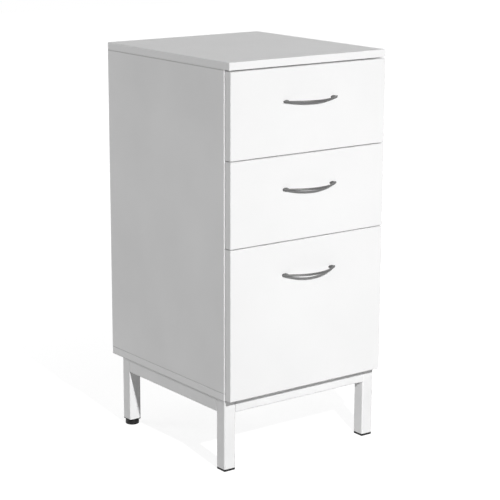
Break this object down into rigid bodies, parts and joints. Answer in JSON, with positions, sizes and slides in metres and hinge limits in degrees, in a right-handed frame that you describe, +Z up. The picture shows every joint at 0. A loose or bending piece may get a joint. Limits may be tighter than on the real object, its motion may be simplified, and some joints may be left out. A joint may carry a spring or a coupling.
{
  "type": "drawer cabinet",
  "caption": "White floor-standing cabinet with full-width drawers on telescopic slides, bow handles and a square-tube frame with capped legs and levelling feet.",
  "frame": {"origin": "on the floor, in the middle of the outline seen from above, handles included", "axes": "+Z up, +X to the right seen from the front, the drawers open along -Y"},
  "size_m": [0.4, 0.479, 0.846],
  "materials": {
    "white_board": "smooth white melamine-faced board with white edge band",
    "box_board": "white melamine-faced board, drawer boxes",
    "white_hardboard": "thin white-faced hardboard",
    "frame_paint": "white powder-coated steel tube",
    "black_plastic": "black moulded plastic",
    "slide_steel": "zinc-plated rolled steel",
    "plated_steel": "zinc-plated steel screws",
    "zinc_fittings": "die-cast zinc",
    "handle_metal": "satin nickel-plated casting",
    "clear_rubber": "soft translucent dots"
  },
  "bodies": {
    "cabinet": {"worktop": "white_board", "bottom_panel": "white_board", "side_panel_left": "white_board", "side_panel_right": "white_board", "back_panel": "white_hardboard", "carcass_cam_fittings": "zinc_fittings", "cabinet_slide_screws": "plated_steel", "frame_leg_front_left": "frame_paint", "frame_leg_front_right": "frame_paint", "frame_leg_rear_left": "frame_paint", "frame_leg_rear_right": "frame_paint", "frame_rail_front": "frame_paint", "frame_rail_rear": "frame_paint", "frame_rail_left": "frame_paint", "frame_rail_right": "frame_paint", "frame_screws": "plated_steel", "leg_caps_front": "black_plastic", "leg_inserts_rear": "black_plastic", "drawer_bottom_slide_outer": "slide_steel", "drawer_middle_slide_outer": "slide_steel", "drawer_top_slide_outer": "slide_steel"},
    "drawer_bottom": {"drawer_bottom_front": "white_board", "drawer_bottom_side_left": "box_board", "drawer_bottom_side_right": "box_board", "drawer_bottom_back": "box_board", "drawer_bottom_base_panel": "white_hardboard", "drawer_bottom_handle": "handle_metal", "drawer_bottom_handle_screws": "plated_steel", "drawer_bottom_bumpers": "clear_rubber", "drawer_bottom_slide_inner": "slide_steel", "drawer_bottom_slide_screws": "plated_steel"},
    "drawer_bottom_middle_members": {"drawer_bottom_slide_middle": "slide_steel"},
    "drawer_middle": {"drawer_middle_front": "white_board", "drawer_middle_side_left": "box_board", "drawer_middle_side_right": "box_board", "drawer_middle_back": "box_board", "drawer_middle_base_panel": "white_hardboard", "drawer_middle_handle": "handle_metal", "drawer_middle_handle_screws": "plated_steel", "drawer_middle_bumpers": "clear_rubber", "drawer_middle_slide_inner": "slide_steel", "drawer_middle_slide_screws": "plated_steel"},
    "drawer_middle_middle_members": {"drawer_middle_slide_middle": "slide_steel"},
    "drawer_top": {"drawer_top_front": "white_board", "drawer_top_side_left": "box_board", "drawer_top_side_right": "box_board", "drawer_top_back": "box_board", "drawer_top_base_panel": "white_hardboard", "drawer_top_handle": "handle_metal", "drawer_top_handle_screws": "plated_steel", "drawer_top_bumpers": "clear_rubber", "drawer_top_slide_inner": "slide_steel", "drawer_top_slide_screws": "plated_steel"},
    "drawer_top_middle_members": {"drawer_top_slide_middle": "slide_steel"},
    "levelling_foot_left": {"levelling_foot_pad_left": "black_plastic", "levelling_foot_stud_left": "plated_steel"},
    "levelling_foot_right": {"levelling_foot_pad_right": "black_plastic", "levelling_foot_stud_right": "plated_steel"}
  },
  "joints": [
    {"name": "drawer_bottom_pull", "type": "slide", "parent": "cabinet", "child": "drawer_bottom", "axis": [0, -1, 0], "range_m": [0, 0.385]},
    {"name": "drawer_bottom_middle_travel", "type": "slide", "parent": "cabinet", "child": "drawer_bottom_middle_members", "axis": [0, -1, 0], "range_m": [0, 0.1925]},
    {"name": "drawer_middle_pull", "type": "slide", "parent": "cabinet", "child": "drawer_middle", "axis": [0, -1, 0], "range_m": [0, 0.385]},
    {"name": "drawer_middle_middle_travel", "type": "slide", "parent": "cabinet", "child": "drawer_middle_middle_members", "axis": [0, -1, 0], "range_m": [0, 0.1925]},
    {"name": "drawer_top_pull", "type": "slide", "parent": "cabinet", "child": "drawer_top", "axis": [0, -1, 0], "range_m": [0, 0.385]},
    {"name": "drawer_top_middle_travel", "type": "slide", "parent": "cabinet", "child": "drawer_top_middle_members", "axis": [0, -1, 0], "range_m": [0, 0.1925]},
    {"name": "levelling_foot_left_height", "type": "slide", "parent": "cabinet", "child": "levelling_foot_left", "axis": [0, 0, -1], "range_m": [0, 0.015]},
    {"name": "levelling_foot_right_height", "type": "slide", "parent": "cabinet", "child": "levelling_foot_right", "axis": [0, 0, -1], "range_m": [0, 0.015]}
  ],
  "couplings": [
    {"joint": "drawer_bottom_middle_travel", "follows": "drawer_bottom_pull", "ratio": 0.5},
    {"joint": "drawer_middle_middle_travel", "follows": "drawer_middle_pull", "ratio": 0.5},
    {"joint": "drawer_top_middle_travel", "follows": "drawer_top_pull", "ratio": 0.5}
  ]
}
